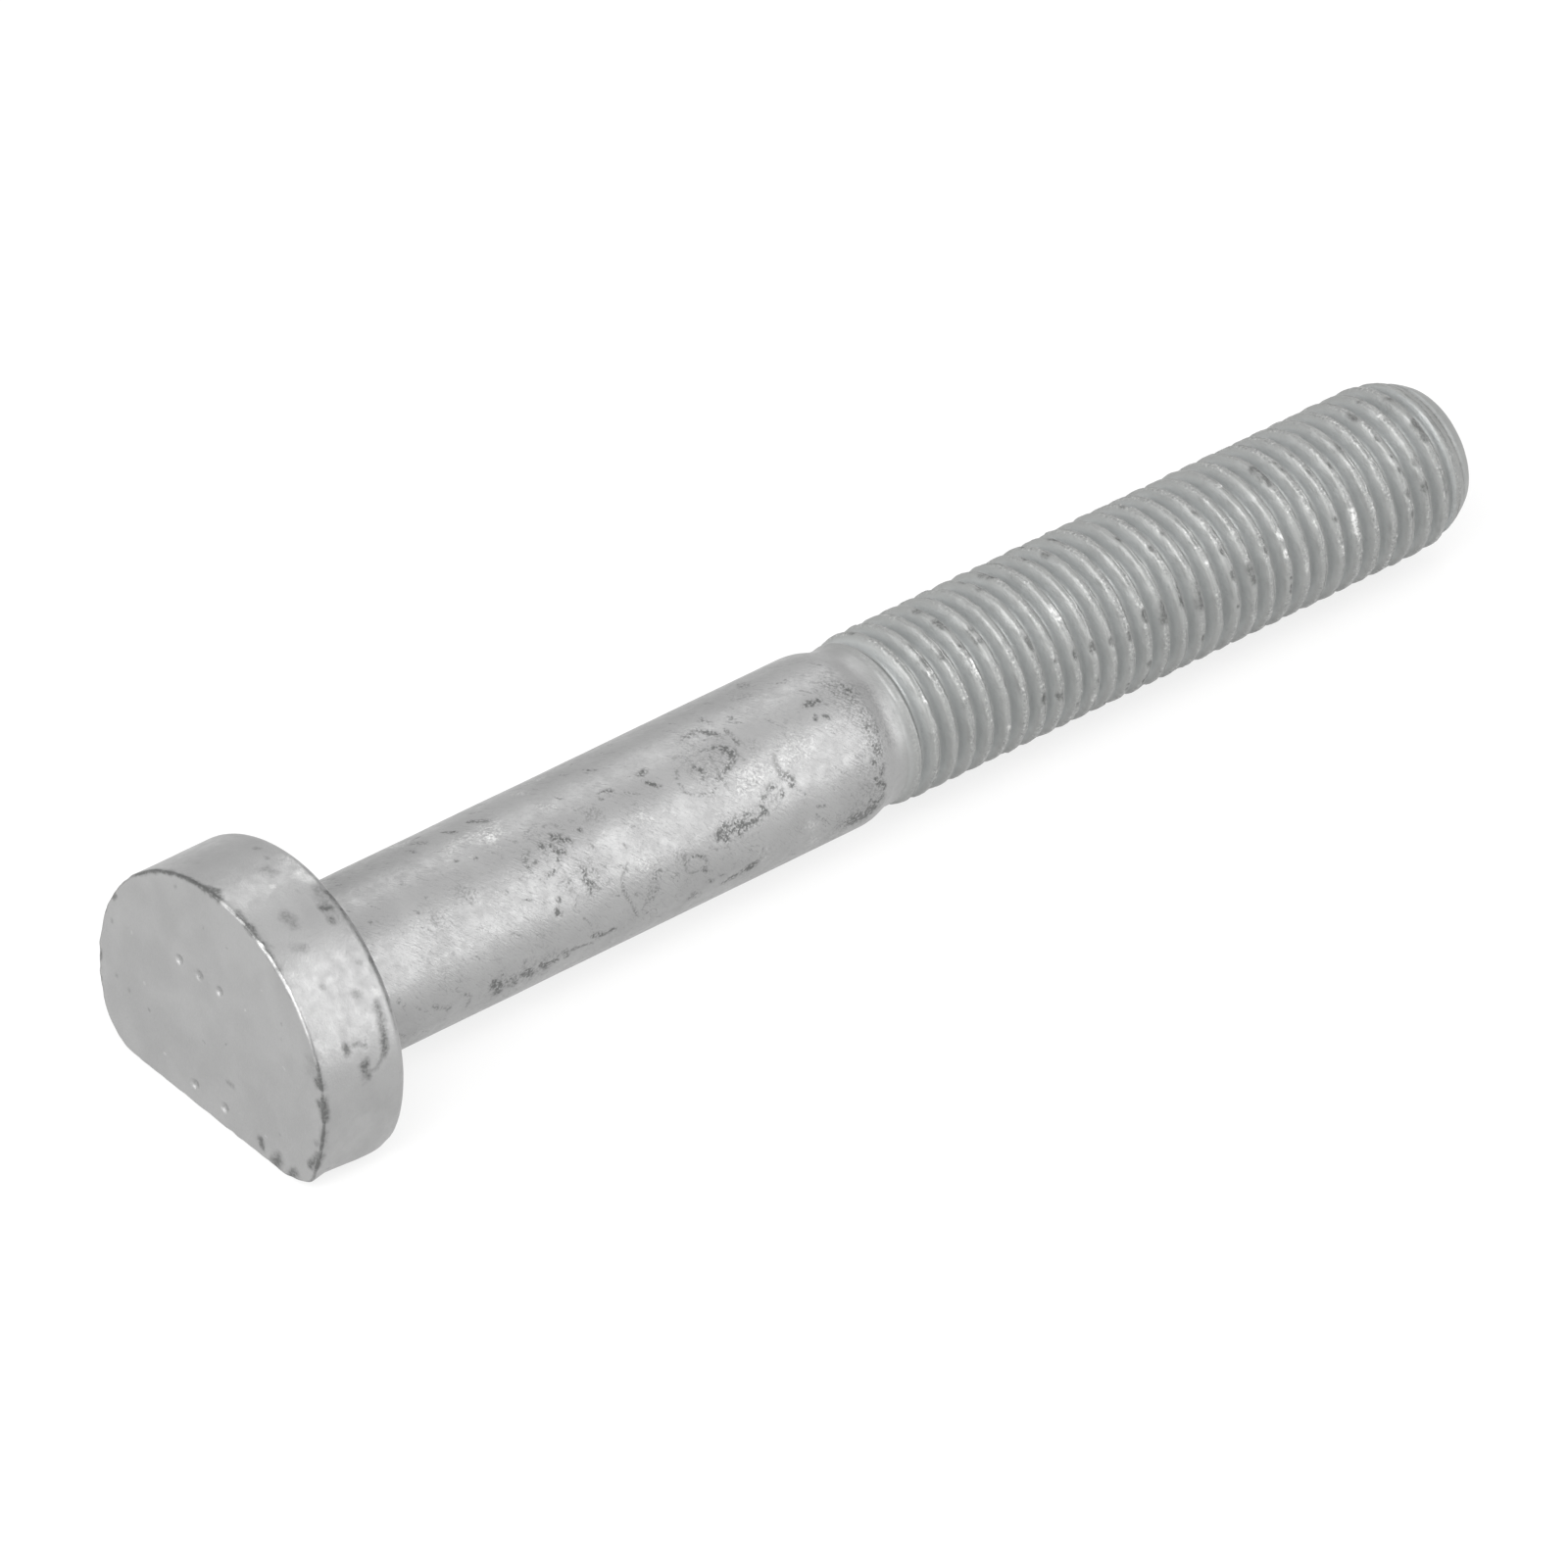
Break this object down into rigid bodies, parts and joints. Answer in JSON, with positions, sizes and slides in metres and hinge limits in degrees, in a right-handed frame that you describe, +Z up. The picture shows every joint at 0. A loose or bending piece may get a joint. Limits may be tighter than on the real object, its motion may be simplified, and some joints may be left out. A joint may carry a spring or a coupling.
{
  "type": "d-head bolt",
  "caption": "Forged bolt with a thick D-shaped head whose flat keeps it from turning, a full plain shank, a narrowed neck and a rolled right-hand metric thread with a chamfered end.",
  "frame": {"origin": "where the bolt's axis meets the bearing face under the head", "axes": "+X along the axis from the bearing face to the thread end, +Z up and away from the flat of the head, which faces down"},
  "size_m": [0.1362, 0.0304, 0.0235],
  "materials": {
    "zinc_flake_steel": "matt silver-grey zinc-flake coating over forged steel, with handling marks"
  },
  "bodies": {
    "root": {"bolt": "zinc_flake_steel"}
  },
  "joints": []
}
